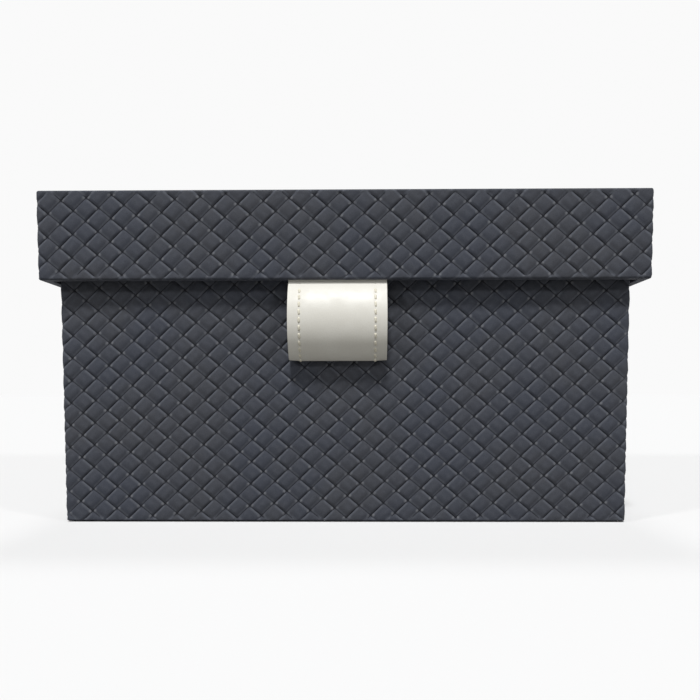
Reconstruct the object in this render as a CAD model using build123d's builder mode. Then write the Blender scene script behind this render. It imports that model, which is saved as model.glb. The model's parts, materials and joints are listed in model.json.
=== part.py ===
"""Storage box for papers and keepsakes: a board box and a lift-off lid, both wrapped in plaited
leatherette, with an ivory pull loop that comes out of a slit under the lid's front skirt.

Frame: +Z is up, +X is to the right and the front faces -Y. The origin is the centre of the underside.
All sizes are in millimetres.
"""

import os
from math import asin, atan2, cos, degrees, hypot, sin, sqrt

from build123d import *

# Sheet goods
board = 4.0  # greyboard of the walls, the base and the lid's top
leather = 1.0  # plaited leatherette
lining = 1.0  # cloth-covered card
tape = 0.3  # paper tape over the corner joints of the boards
tape_leg = 20.0  # tape on each side of a corner

# Box
body_width = 322.0
body_depth = 232.0
body_height = 179.8  # table to the top of the rim
corner_radius = 1.5  # upright corners of the leatherette
fold_radius = 1.2  # leatherette folded over the outer edge of a board
inner_fold_radius = 0.6
turn_in = 15.0  # leatherette glued down past a fold
sheet = 0.8  # base sheet where it laps over the leatherette
sheet_inset = 3.0  # side of the box to the edge of the base sheet

# Lid
lid_gap = 3.0  # side of the box to the inside of the lid
lid_height = 49.0
seat_gap = 0.2  # rim of the box to the lining of the lid

# Pull loop
strap_width = 55.0
strap_middle = -3.4  # a little left of the lid's middle
face_ply = 0.6
backing_ply = 0.6
tail_length = 32.0  # ends of the strap, glued inside the front of the lid
slit_play = 0.2  # at each end of the slit and above the strap's ends
ply_gap = 0.1  # half of the slim gap between the strap's runs where they leave the slit
skirt_gap = 0.8  # lid to the top of the loop
loop_reach = 21.5  # hinge line to the middle of the loop
loop_depth = 14.5  # flat back of the loop to the front of its bulge
loop_fold = 3.0  # outer radius of the fold at the bottom
loop_rest = 0.6  # front of the box to the loop's fold

# Stitching along both sides of the loop
stitch_inset = 6.5
stitch_length = 3.2
stitch_pitch = 4.4
stitch_margin = 1.5  # each end of the bulge to the nearest stitch, at least
thread_width = 0.7
thread_height = 0.3

# Box, worked out
boards_width = body_width - 2 * leather
boards_depth = body_depth - 2 * leather
inside_boards_width = boards_width - 2 * board
inside_boards_depth = boards_depth - 2 * board
mouth_width = inside_boards_width - 2 * leather
mouth_depth = inside_boards_depth - 2 * leather
base_bottom = sheet + leather
base_top = base_bottom + board
walls_top = body_height - leather
lining_top = walls_top - turn_in
underside_width = boards_width - 2 * turn_in
underside_depth = boards_depth - 2 * turn_in

# Lid, worked out
overhang = lid_gap + lining + board + leather
lid_width = body_width + 2 * overhang
lid_depth = body_depth + 2 * overhang
lid_boards_width = lid_width - 2 * leather
lid_boards_depth = lid_depth - 2 * leather
inside_lid_width = lid_boards_width - 2 * board
inside_lid_depth = lid_boards_depth - 2 * board
lid_mouth_width = inside_lid_width - 2 * leather
lid_mouth_depth = inside_lid_depth - 2 * leather
ceiling_bottom = body_height + seat_gap
ceiling_top = ceiling_bottom + lining
top_board_top = ceiling_top + board
lid_top = top_board_top + leather
skirt_bottom = lid_top - lid_height
skirt_boards_bottom = skirt_bottom + leather
skirt_lining_bottom = skirt_boards_bottom + turn_in

# Pull loop, worked out: both ends of the strap lie in a pocket behind the lid's front board
strap = face_ply + backing_ply
pocket_depth = 2 * strap
pocket_width = strap_width + 2 * slit_play
pocket_back = -inside_lid_depth / 2
pocket_middle = pocket_back - pocket_depth / 2
tail_top = skirt_bottom + tail_length
strap_left = strap_middle - strap_width / 2
head_radius = strap + ply_gap
hinge_y = pocket_middle
hinge_z = skirt_bottom - skirt_gap - head_radius

# Seen from the side the loop is a D: a flat back and a round front, with its head at the hinge line
front_radius = (loop_reach**2 / (loop_depth - 2 * head_radius) + loop_depth) / 2
front_setback = front_radius - loop_depth
fold_reach = sqrt((loop_depth - 2 * loop_fold) * (2 * front_radius - loop_depth))
half_chord = sqrt(front_radius**2 - front_setback**2)
fold_from_hinge = loop_reach + fold_reach
fold_offset = loop_fold - head_radius
room_behind = -body_depth / 2 - loop_rest - hinge_y
loop_lean = asin((room_behind - loop_fold) / hypot(fold_from_hinge, fold_offset)) + atan2(
    fold_offset, fold_from_hinge
)

os.makedirs("parts", exist_ok=True)


def save(builder, name):
    """Labels a finished piece, writes its file and prints how many solids it has and their volume."""
    builder.part.label = name
    export_step(builder.part, f"parts/{name}.step")
    print(f"{name}: {len(builder.part.solids())} solids, {builder.part.volume:.1f} mm3")


def flat_sheet(width, depth, low, high):
    """A sheet or board that lies flat between two heights, centred on the Z axis."""
    with BuildPart() as piece:
        with BuildSketch(Plane.XY.offset(low)):
            Rectangle(width, depth)
        extrude(amount=high - low)
    return piece


def upright_sheet(side, width, depth, thickness, low, high):
    """One of four upright sheets that stand just inside a rectangle: front and back run full width."""
    runs_across = side in ("front", "back")
    sign = -1 if side in ("front", "left") else 1
    centre = (0, sign * (depth - thickness) / 2) if runs_across else (sign * (width - thickness) / 2, 0)
    size = (width, thickness) if runs_across else (thickness, depth - 2 * thickness)
    with BuildPart() as piece:
        with BuildSketch(Plane.XY.offset(low)):
            with Locations(centre):
                Rectangle(*size)
        extrude(amount=high - low)
    return piece


def corner_tapes(width, depth, low, high):
    """Folded paper tape down the four outer corners of a rectangle of upright boards."""
    with BuildPart() as piece:
        with BuildSketch(Plane.XY.offset(low)):
            Rectangle(width + 2 * tape, depth + 2 * tape)
            Rectangle(width, depth, mode=Mode.SUBTRACT)
            Rectangle(width - 2 * tape_leg, depth + 4 * tape, mode=Mode.SUBTRACT)
            Rectangle(width + 4 * tape, depth - 2 * tape_leg, mode=Mode.SUBTRACT)
        extrude(amount=high - low)
    return piece


def outer_edges(edge_list, width, depth):
    """The edges that lie outside a rectangle about the Z axis."""
    inner = inner_edges(edge_list, width, depth)
    return ShapeList(edge for edge in edge_list if edge not in inner)


def inner_edges(edge_list, width, depth):
    """The edges that lie on or inside a rectangle about the Z axis."""
    margin = leather / 2
    return edge_list.filter_by(
        lambda edge: abs(edge.center().X) < width / 2 + margin and abs(edge.center().Y) < depth / 2 + margin
    )


# Boards of the box
base_board = flat_sheet(boards_width, boards_depth, base_bottom, base_top)
save(base_board, "base_board")
for side in ("front", "back", "left", "right"):
    save(upright_sheet(side, boards_width, boards_depth, board, base_top, walls_top), f"box_{side}_board")

box_corner_tapes = corner_tapes(boards_width, boards_depth, base_top, walls_top)
save(box_corner_tapes, "box_corner_tapes")

# Leatherette of the box: up the sides, over the rim and turned in, and turned under the base
with BuildPart() as box_wrap:
    with BuildSketch(Plane.XY.offset(sheet)):
        RectangleRounded(body_width, body_depth, corner_radius)
    extrude(amount=body_height - sheet)
    with BuildSketch(Plane.XY.offset(base_bottom)):
        Rectangle(boards_width, boards_depth)
    extrude(amount=walls_top - base_bottom, mode=Mode.SUBTRACT)
    with BuildSketch(Plane.XY.offset(walls_top)):
        Rectangle(mouth_width, mouth_depth)
    extrude(amount=leather, mode=Mode.SUBTRACT)
    with BuildSketch(Plane.XY.offset(sheet)):
        Rectangle(underside_width, underside_depth)
    extrude(amount=leather, mode=Mode.SUBTRACT)
    rim = box_wrap.edges().group_by(Axis.Z)[-1]
    fillet(outer_edges(rim, mouth_width, mouth_depth), fold_radius)
    rim = box_wrap.edges().group_by(Axis.Z)[-1]
    fillet(inner_edges(rim, mouth_width, mouth_depth), inner_fold_radius)
    underside = box_wrap.edges().group_by(Axis.Z)[0]
    fillet(outer_edges(underside, underside_width, underside_depth), inner_fold_radius)
    with BuildSketch(Plane.XY.offset(lining_top)):
        Rectangle(inside_boards_width, inside_boards_depth)
        Rectangle(mouth_width, mouth_depth, mode=Mode.SUBTRACT)
    extrude(amount=turn_in)
    add(box_corner_tapes.part, mode=Mode.SUBTRACT)
save(box_wrap, "box_wrap")

# Base sheet: its lower layer laps over the turned-in leatherette, and its upper layer fills the
# space between the turned-in edges
with BuildPart() as base_sheet:
    with BuildSketch():
        RectangleRounded(body_width - 2 * sheet_inset, body_depth - 2 * sheet_inset, corner_radius)
    extrude(amount=sheet)
    with BuildSketch(Plane.XY.offset(sheet)):
        Rectangle(underside_width, underside_depth)
    extrude(amount=leather)
save(base_sheet, "base_sheet")

# Lining of the box
floor_lining = flat_sheet(
    inside_boards_width - 2 * lining, inside_boards_depth - 2 * lining, base_top, base_top + lining
)
save(floor_lining, "box_floor_lining")
for side in ("front", "back", "left", "right"):
    wall_lining = upright_sheet(
        side, inside_boards_width, inside_boards_depth, lining, base_top, lining_top
    )
    save(wall_lining, f"box_{side}_lining")

# Boards of the lid
lid_top_board = flat_sheet(lid_boards_width, lid_boards_depth, ceiling_top, top_board_top)
save(lid_top_board, "lid_top_board")
for side in ("back", "left", "right"):
    skirt_board = upright_sheet(
        side, lid_boards_width, lid_boards_depth, board, skirt_boards_bottom, ceiling_top
    )
    save(skirt_board, f"lid_{side}_board")

# The front board has the pocket for the strap's ends in its back
front_blank = upright_sheet(
    "front", lid_boards_width, lid_boards_depth, board, skirt_boards_bottom, ceiling_top
)
with BuildPart() as lid_front_board:
    add(front_blank.part)
    with BuildSketch(Plane.XY.offset(skirt_boards_bottom)):
        with Locations((strap_middle, pocket_middle)):
            Rectangle(pocket_width, pocket_depth)
    extrude(amount=tail_top + slit_play - skirt_boards_bottom, mode=Mode.SUBTRACT)
save(lid_front_board, "lid_front_board")

lid_corner_tapes = corner_tapes(lid_boards_width, lid_boards_depth, skirt_boards_bottom, ceiling_top)
save(lid_corner_tapes, "lid_corner_tapes")

# Leatherette of the lid: over the top, down the skirt and turned in, with a slit for the strap
with BuildPart() as lid_wrap:
    with BuildSketch(Plane.XY.offset(skirt_bottom)):
        RectangleRounded(lid_width, lid_depth, corner_radius)
    extrude(amount=lid_height)
    with BuildSketch(Plane.XY.offset(skirt_boards_bottom)):
        Rectangle(lid_boards_width, lid_boards_depth)
    extrude(amount=top_board_top - skirt_boards_bottom, mode=Mode.SUBTRACT)
    with BuildSketch(Plane.XY.offset(skirt_bottom)):
        Rectangle(lid_mouth_width, lid_mouth_depth)
    extrude(amount=leather, mode=Mode.SUBTRACT)
    fillet(lid_wrap.edges().group_by(Axis.Z)[-1], fold_radius)
    hem = lid_wrap.edges().group_by(Axis.Z)[0]
    fillet(outer_edges(hem, lid_mouth_width, lid_mouth_depth), fold_radius)
    hem = lid_wrap.edges().group_by(Axis.Z)[0]
    fillet(inner_edges(hem, lid_mouth_width, lid_mouth_depth), inner_fold_radius)
    with BuildSketch(Plane.XY.offset(skirt_boards_bottom)):
        Rectangle(inside_lid_width, inside_lid_depth)
        Rectangle(lid_mouth_width, lid_mouth_depth, mode=Mode.SUBTRACT)
    extrude(amount=turn_in)
    add(lid_corner_tapes.part, mode=Mode.SUBTRACT)
    with BuildSketch(Plane.XY.offset(skirt_bottom)):
        with Locations((strap_middle, pocket_middle)):
            Rectangle(pocket_width, pocket_depth)
    extrude(amount=leather, mode=Mode.SUBTRACT)
save(lid_wrap, "lid_wrap")

# Lining of the lid
ceiling_lining = flat_sheet(inside_lid_width, inside_lid_depth, ceiling_bottom, ceiling_top)
save(ceiling_lining, "lid_ceiling_lining")
for side in ("front", "back", "left", "right"):
    skirt_lining = upright_sheet(
        side, inside_lid_width, inside_lid_depth, lining, skirt_lining_bottom, ceiling_bottom
    )
    save(skirt_lining, f"lid_{side}_lining")

# Ends of the strap, one behind the other in the pocket of the front board
for end_name, end_y in (
    ("strap_front_end", pocket_middle - strap / 2),
    ("strap_back_end", pocket_middle + strap / 2),
):
    with BuildPart() as strap_end:
        with BuildSketch(Plane.XY.offset(skirt_bottom)):
            with Locations((strap_middle, end_y)):
                Rectangle(strap_width, strap)
        extrude(amount=tail_length)
    save(strap_end, end_name)


def loop_plane(x):
    """A plane across the strap at that X: its origin is on the hinge line, its own X axis points out
    through the bulge, square to the flat back, and its own Y axis points up the loop."""
    return Plane(origin=(x, hinge_y, hinge_z), x_dir=(0, -cos(loop_lean), -sin(loop_lean)), z_dir=(-1, 0, 0))


def loop_outline(inset):
    """The D of the loop, drawn flat about the hinge line and drawn in from its outer face by the inset."""
    with BuildSketch() as outline:
        with BuildLine():
            back = Line((-head_radius, half_chord - loop_reach), (-head_radius, -half_chord - loop_reach))
            ThreePointArc(back @ 1, (loop_depth - head_radius, -loop_reach), back @ 0)
        make_face()
        fillet(outline.vertices().sort_by(Axis.Y)[-1], head_radius)
        fillet(outline.vertices().sort_by(Axis.Y)[0], loop_fold)
        if inset > 0:
            offset(amount=-inset, kind=Kind.INTERSECTION, mode=Mode.REPLACE)
    return outline.sketch


def loop_ply(outer_inset, inner_inset):
    """One ply of the loop, between two depths under its outer face."""
    with BuildPart() as piece:
        with BuildSketch(loop_plane(strap_left + strap_width)):
            add(loop_outline(outer_inset))
            add(loop_outline(inner_inset), mode=Mode.SUBTRACT)
        extrude(amount=strap_width)
    return piece


save(loop_ply(0, face_ply), "strap_face")
save(loop_ply(face_ply, strap), "strap_backing")

# A row of thread stitches down each side of the bulge
arc_centre = (-head_radius - front_setback, -loop_reach)
arc_top = atan2(loop_reach, front_setback + head_radius)
arc_bottom = -atan2(fold_reach, front_setback + loop_fold)
pitch_angle = stitch_pitch / front_radius
row_angle = arc_top - arc_bottom - (2 * stitch_margin + stitch_length) / front_radius
stitch_count = int(row_angle / pitch_angle) + 1
first_angle = (arc_top + arc_bottom + (stitch_count - 1) * pitch_angle) / 2
straight_part = (stitch_length - thread_height) / front_radius
for row_name, row_middle in (
    ("stitches_left", strap_left + stitch_inset),
    ("stitches_right", strap_left + strap_width - stitch_inset),
):
    with BuildPart() as stitches:
        with BuildSketch(loop_plane(row_middle + thread_width / 2)):
            for index in range(stitch_count):
                middle_angle = first_angle - index * pitch_angle
                with BuildLine(mode=Mode.PRIVATE):
                    thread = CenterArc(
                        arc_centre,
                        front_radius + thread_height / 2,
                        degrees(middle_angle - straight_part / 2),
                        degrees(straight_part),
                    )
                SlotArc(thread, thread_height)
        extrude(amount=thread_width)
    save(stitches, row_name)

print(f"Lid {lid_width:.1f} x {lid_depth:.1f}, top at {lid_top:.1f}, skirt from {skirt_bottom:.1f}")
print(f"Hinge line of the loop: y {hinge_y:.2f}, z {hinge_z:.2f}, lean {degrees(loop_lean):.1f} degrees")
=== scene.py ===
# %% [markdown]
# # A lidded storage box in plaited leatherette
# This lesson dresses a board box and its lift-off lid. Both are wrapped in dark leatherette that is
# embossed with a diagonal plait, and an ivory leather loop hangs under the front of the lid.
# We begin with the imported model, which gives every piece its real size and place, in metres.

import json
import math

import bmesh
import bpy
import numpy as np
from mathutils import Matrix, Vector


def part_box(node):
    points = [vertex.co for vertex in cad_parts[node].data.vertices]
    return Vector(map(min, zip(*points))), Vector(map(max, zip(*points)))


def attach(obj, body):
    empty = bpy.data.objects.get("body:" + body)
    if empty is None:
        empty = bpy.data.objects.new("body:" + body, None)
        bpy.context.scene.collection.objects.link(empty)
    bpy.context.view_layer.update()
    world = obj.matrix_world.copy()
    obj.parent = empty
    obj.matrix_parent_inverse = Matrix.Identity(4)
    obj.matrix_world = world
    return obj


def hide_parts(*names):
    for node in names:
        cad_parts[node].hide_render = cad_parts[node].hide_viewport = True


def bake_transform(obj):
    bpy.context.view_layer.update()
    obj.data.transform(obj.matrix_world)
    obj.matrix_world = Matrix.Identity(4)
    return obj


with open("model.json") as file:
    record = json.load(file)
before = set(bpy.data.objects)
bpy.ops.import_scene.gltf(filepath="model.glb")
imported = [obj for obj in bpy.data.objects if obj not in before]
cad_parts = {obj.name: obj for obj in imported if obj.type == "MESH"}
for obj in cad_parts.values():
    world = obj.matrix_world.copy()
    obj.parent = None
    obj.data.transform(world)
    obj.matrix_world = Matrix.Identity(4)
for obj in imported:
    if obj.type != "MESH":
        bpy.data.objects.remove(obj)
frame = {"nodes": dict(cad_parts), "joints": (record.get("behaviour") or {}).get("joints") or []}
bpy.context.view_layer.update()
MM = 0.001

# %% [markdown]
# The wraps are sheets about a millimetre thick. We read where their outer faces lie from the frame,
# so that the new meshes fit the boards exactly. The radii and widths below are the maker's own sizes.

# %% Sizes of the wraps
box_low, box_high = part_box("box_wrap")
lid_low, lid_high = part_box("lid_wrap")
board_low, board_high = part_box("box_front_board")
lid_board_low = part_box("lid_front_board")[0]
LEATHER = 1.0 * MM
BOARD = board_high.y - board_low.y
CORNER = 1.5 * MM
FOLD = 1.2 * MM
INNER_FOLD = 0.6 * MM
TURN_IN = 15.0 * MM
box_size = (box_high.x - box_low.x, box_high.y - box_low.y)
lid_size = (lid_high.x - lid_low.x, lid_high.y - lid_low.y)
print("Box wrap", [round(s / MM, 1) for s in box_size], "lid wrap", [round(s / MM, 1) for s in lid_size])

# %% [markdown]
# ## The plait
# The emboss looks like flat strips that pass over one, under one. Seen as a grid, each cell shows one
# strip that runs along one diagonal, and its neighbour shows a strip along the other. Two neighbours
# are a tile, and two steps, one along the row and one up, repeat it over the sheet. If a whole number of
# steps goes once round the box, the pattern meets itself and the sheet closes with no ragged seam.

# %% Steps of the plait
STEP_ALONG = np.array([13.95, 1.45]) * MM
STEP_UP = np.array([0.66, 12.75]) * MM
RELIEF = 1.0 * MM
PEAK = 0.42 * MM
CUTS = np.array([-0.5, -0.45, -0.31, 0.0, 0.31, 0.45, 0.5])
DIVE_POWER = 2.4
SHOULDER_FROM = 0.74
SHOULDER_POWER = 2.4


def closing_steps(perimeter):
    """The step along a row, changed slightly so that whole steps close round the perimeter."""
    along = round(perimeter / STEP_ALONG[0])
    up = round(along * STEP_ALONG[1] / STEP_UP[1])
    return np.array([perimeter + up * STEP_UP[0], up * STEP_UP[1]]) / along


def cell_height(along, across):
    """Height of a strip in its cell: it dives under at its ends and drops off sharply at its sides."""
    crown = 1 - np.abs(2 * along) ** DIVE_POWER
    past_shoulder = (np.abs(2 * across) - SHOULDER_FROM) / (1 - SHOULDER_FROM)
    shoulder = 1 - np.clip(past_shoulder, 0, 1) ** SHOULDER_POWER
    return RELIEF * crown * shoulder


print("A strip is", round(np.hypot(*(STEP_ALONG - STEP_UP) / 2) / MM, 1), "mm from the next")

# %% [markdown]
# One tile is a grid primitive, twelve quads by six. Its points are moved in code to uneven cuts, close
# together at the strips' sides, where the emboss is sharp. Two Array modifiers repeat it, and merging
# doubles welds the copies. The flat sheet is then trimmed with the bisect operator.


# %% Helpers for edit mode
def deselect_all():
    """Leaves nothing selected, because an operator acts on all that is selected."""
    if bpy.context.mode != "OBJECT":
        bpy.ops.object.mode_set(mode="OBJECT")
    bpy.ops.object.select_all(action="DESELECT")


def make_active(piece):
    """Selects one piece alone and makes it the active one."""
    deselect_all()
    piece.select_set(True)
    bpy.context.view_layer.objects.active = piece


def points(piece):
    """The piece's vertices as an array."""
    co = np.empty(len(piece.data.vertices) * 3)
    piece.data.vertices.foreach_get("co", co)
    return co.reshape(-1, 3)


def set_points(piece, co):
    """Moves the piece's vertices to the array's places."""
    piece.data.vertices.foreach_set("co", co.ravel())
    piece.data.update()


def cut_line(position, axis, keep=None):
    """Bisects all that is selected in edit mode across X or Y, and keeps one side, or both."""
    bpy.ops.mesh.select_all(action="SELECT")
    normal = (1, 0, 0) if axis == 0 else (0, 1, 0)
    place = (position, 0, 0) if axis == 0 else (0, position, 0)
    bpy.ops.mesh.bisect(
        plane_co=place,
        plane_no=normal,
        clear_inner=keep == "above",
        clear_outer=keep == "below",
        threshold=1e-7,
    )


# %% A flat sheet of the plait
def plait_sheet(name, step_along, left, right, low, high, cuts=()):
    """A flat sheet from left to right along X and from low to high along Y, with its relief along Z."""
    half_down = (step_along - STEP_UP) / 2
    half_up = (step_along + STEP_UP) / 2
    bpy.ops.mesh.primitive_grid_add(x_subdivisions=12, y_subdivisions=6, size=1)
    sheet = bpy.context.object
    sheet.name = sheet.data.name = name
    co = points(sheet)
    column = np.rint((co[:, 0] + 0.5) * 12).astype(int)
    row = np.rint((co[:, 1] + 0.5) * 6).astype(int)
    cell = np.minimum(column // 6, 1)
    along = CUTS[column - 6 * cell]
    across = CUTS[row]
    height = np.where(cell == 0, cell_height(along, across), cell_height(across, along))
    flat = np.outer(along + 0.5 + cell, half_down) + np.outer(across + 0.5, half_up)
    set_points(sheet, np.column_stack([flat, height]))

    rise = step_along[1] / step_along[0] * (right - left)
    rows = math.ceil((high - low + rise) / STEP_UP[1]) + 4
    columns = math.ceil((right - left) / step_along[0]) + 6
    start = np.array([left - 3 * step_along[0], low - rise - 2 * STEP_UP[1]])
    start_steps = np.rint(np.linalg.solve(np.column_stack([step_along, STEP_UP]), start))
    offset = start_steps[0] * step_along + start_steps[1] * STEP_UP
    co = points(sheet)
    co[:, :2] += offset
    set_points(sheet, co)
    make_active(sheet)
    for count, step in ((columns, step_along), (rows, STEP_UP)):
        array = sheet.modifiers.new("Repeat", "ARRAY")
        array.use_relative_offset = False
        array.use_constant_offset = True
        array.constant_offset_displace = (step[0], step[1], 0)
        array.count = count
        bpy.ops.object.modifier_apply(modifier=array.name)
    bpy.ops.object.mode_set(mode="EDIT")
    bpy.ops.mesh.select_all(action="SELECT")
    bpy.ops.mesh.remove_doubles(threshold=0.01 * MM)
    cut_line(left, 0, "above")
    cut_line(right, 0, "below")
    cut_line(low, 1, "above")
    cut_line(high, 1, "below")
    for position in cuts:
        cut_line(position, 0)
    bpy.ops.object.mode_set(mode="OBJECT")
    print(name, len(sheet.data.polygons), "faces")
    return sheet


# %% [markdown]
# The flat sheet is bent round the box in code. A point's X is its distance along the outline, which is
# a rectangle with round corners. Its Y is its distance along the wrap's section: up the outer face, over
# the fold, down inside. Pushed in further than the corner's radius, the outline is a sharp rectangle.


# %% Bending the sheet round the box
def outline_lengths(size):
    """Lengths of the straight sides and the corner arcs, from the back left corner anticlockwise."""
    straight_x, straight_y = size[0] - 2 * CORNER, size[1] - 2 * CORNER
    arc = CORNER * math.pi / 2
    return [straight_y, arc, straight_x, arc, straight_y, arc, straight_x, arc]


def round_the_box(distance, inset, size):
    """X and Y of the points at those distances along the outline, pushed in by the inset."""
    half = np.array(size) / 2
    lengths = outline_lengths(size)
    ends = np.cumsum(lengths)
    part = np.clip(np.searchsorted(ends, distance, side="right"), 0, 7)
    begun = distance - (ends - lengths)[part]
    side = part // 2
    heading = np.array([[0, -1], [1, 0], [0, 1], [-1, 0]])
    outward = np.array([[-1, 0], [0, -1], [1, 0], [0, 1]])
    centre_of_end = np.array([[-1, -1], [1, -1], [1, 1], [-1, 1]]) * (half - CORNER)
    centre_of_start = np.roll(centre_of_end, 1, axis=0)
    turn = np.where(part % 2 == 1, begun / CORNER, 0)
    normal = outward[side] * np.cos(turn)[:, None] + heading[side] * np.sin(turn)[:, None]
    straight = np.where(part % 2 == 0, begun, 0)
    base = np.where((part % 2 == 1)[:, None], centre_of_end[side], centre_of_start[side])
    place = base + heading[side] * straight[:, None] + normal * np.maximum(CORNER - inset, 0)[:, None]
    limit = half - np.maximum(inset, CORNER)[:, None]
    sharp = np.clip(base + heading[side] * straight[:, None], -limit, limit)
    return np.where((inset > CORNER)[:, None], sharp, place)


def fade(distance, width):
    """0 at an edge and 1 a width away from it, with a smooth rise."""
    share = np.clip(distance / width, 0, 1)
    return share * share * (3 - 2 * share)


def arc_stations(radius, inset, height, start, end, steps=3):
    """Inset and height of stations on a quarter arc about a centre, without its first point."""
    angles = np.radians(np.linspace(start, end, steps + 1)[1:])
    return [(inset - radius * math.cos(a), height + radius * math.sin(a)) for a in angles]


def section_path(first, stations):
    """Distances along a section from its first point, with each station's inset and height."""
    path = np.array([first] + stations)
    steps = np.hypot(*np.diff(path, axis=0).T)
    return np.concatenate([[0], np.cumsum(steps)]), path


def extrude_border(sheet, border, distances, sign):
    """Extrudes the flat sheet's upper or lower border out to each of the section's distances."""
    make_active(sheet)
    bpy.ops.object.mode_set(mode="EDIT")
    bpy.ops.mesh.select_mode(type="EDGE")
    bpy.ops.mesh.select_all(action="DESELECT")
    mesh = bmesh.from_edit_mesh(sheet.data)
    for edge in mesh.edges:
        edge.select = all(abs(v.co.y - border) < 1e-7 for v in edge.verts)
    for step in np.diff(distances):
        bpy.ops.mesh.extrude_region_move(TRANSFORM_OT_translate={"value": (0, sign * step, 0)})
    bpy.ops.object.mode_set(mode="OBJECT")


print("Round the box:", round(sum(outline_lengths(box_size)) / MM, 1), "mm")


# %% [markdown]
# Each wrap also gets two things for its finish while it is still flat. A UV map holds the cell that
# each point lies in, so that the material can follow the strips. One attribute says how high the emboss
# stands, from 0 in a groove to 1 on a crown, and another where the sheet is folded and lies flat.


# %% Marks for the finish
def mark_plait(sheet, step_along, height, pressed):
    """Writes the UV map in cells of the plait, and the attributes for the height and the flat folds."""
    half_down = (step_along - STEP_UP) / 2
    half_up = (step_along + STEP_UP) / 2
    co = points(sheet)[:, :2]
    cells = np.linalg.solve(np.column_stack([half_down, half_up]), co.T).T
    corner_vertex = np.empty(len(sheet.data.loops), dtype=int)
    sheet.data.loops.foreach_get("vertex_index", corner_vertex)
    while sheet.data.uv_layers:
        sheet.data.uv_layers.remove(sheet.data.uv_layers[0])
    layer = sheet.data.uv_layers.new(name="plait")
    layer.data.foreach_set("uv", cells[corner_vertex].ravel())
    raised = height / RELIEF * pressed + 0.6 * (1 - pressed)
    for name, values in (("raised", raised), ("flat", 1 - pressed)):
        sheet.data.attributes.new(name, "FLOAT", "POINT").data.foreach_set("value", values)


def fill_at(piece, height):
    """Fills the flat gap between the open edges that lie at that height."""
    make_active(piece)
    bpy.ops.object.mode_set(mode="EDIT")
    bpy.ops.mesh.select_mode(type="EDGE")
    bpy.ops.mesh.select_all(action="DESELECT")
    mesh = bmesh.from_edit_mesh(piece.data)
    for edge in mesh.edges:
        edge.select = edge.is_boundary and all(abs(v.co.z - height) < 0.01 * MM for v in edge.verts)
    bpy.ops.mesh.fill(use_beauty=False)
    bpy.ops.object.mode_set(mode="OBJECT")


def wrap_strip(name, size, low, high, above, below, cuts=()):
    """A closed band of leatherette round a box: low to high is its outer face, and above and below are
    the inset and height of the section's stations beyond it."""
    lengths = outline_lengths(size)
    ends = np.cumsum(lengths)
    perimeter = ends[-1]
    step_along = closing_steps(perimeter)
    corner_cuts = list(ends[:-1]) + [ends[i] - lengths[i] / 2 for i in (1, 3, 5, 7)]
    strip = plait_sheet(name, step_along, 0, perimeter, low, high, corner_cuts + list(cuts))
    reach_above, path_above = section_path((0, high), above)
    reach_below, path_below = section_path((0, low), below)
    extrude_border(strip, high, reach_above, 1)
    extrude_border(strip, low, reach_below, -1)

    co = points(strip)
    distance, level, height = co.T
    to_corner = np.min([np.abs(distance - (ends[i] - lengths[i] / 2)) for i in (1, 3, 5, 7)], axis=0)
    pressed = fade(level - low, PRESSED) * fade(high - level, PRESSED)
    pressed *= 0.5 + 0.5 * fade(to_corner, NEAR_CORNER)
    pressed *= fade(np.minimum(distance, perimeter - distance), 0.8 * MM)
    mark_plait(strip, step_along, height, pressed)
    outward = (height - RELIEF + PEAK) * pressed
    beyond_above = np.maximum(level - high, 0)
    beyond_below = np.maximum(low - level, 0)
    inset = np.interp(beyond_above, reach_above, path_above[:, 0])
    inset += np.interp(beyond_below, reach_below, path_below[:, 0])
    z = np.clip(level, low, high)
    z += np.interp(beyond_above, reach_above, path_above[:, 1] - high)
    z += np.interp(beyond_below, reach_below, path_below[:, 1] - low)
    flat = round_the_box(distance, inset - outward, size)
    set_points(strip, np.column_stack([flat, z]))
    make_active(strip)
    bpy.ops.object.mode_set(mode="EDIT")
    bpy.ops.mesh.select_all(action="SELECT")
    bpy.ops.mesh.remove_doubles(threshold=0.002 * MM)
    bpy.ops.object.mode_set(mode="OBJECT")
    return strip, step_along


def finish_wrap(piece):
    """Closed, facing outwards and smooth, with the folds of the hidden edges left sharp."""
    make_active(piece)
    bpy.ops.object.mode_set(mode="EDIT")
    bpy.ops.mesh.select_all(action="SELECT")
    bpy.ops.mesh.dissolve_degenerate(threshold=0.001 * MM)
    bpy.ops.mesh.normals_make_consistent(inside=False)
    bpy.ops.object.mode_set(mode="OBJECT")
    bpy.ops.object.shade_smooth_by_angle(angle=math.radians(50))
    mesh = bmesh.new()
    mesh.from_mesh(piece.data)
    open_edges = sum(edge.is_boundary for edge in mesh.edges)
    mesh.free()
    piece.data.calc_loop_triangles()
    print(piece.name, len(piece.data.loop_triangles), "triangles,", open_edges, "open edges")


# %% [markdown]
# ## The wrap of the box
# One sheet covers the four walls. It is folded over the rim and glued down inside, and folded under the
# base. The section is written as stations, each with its inset from the outer face and its height.

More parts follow.
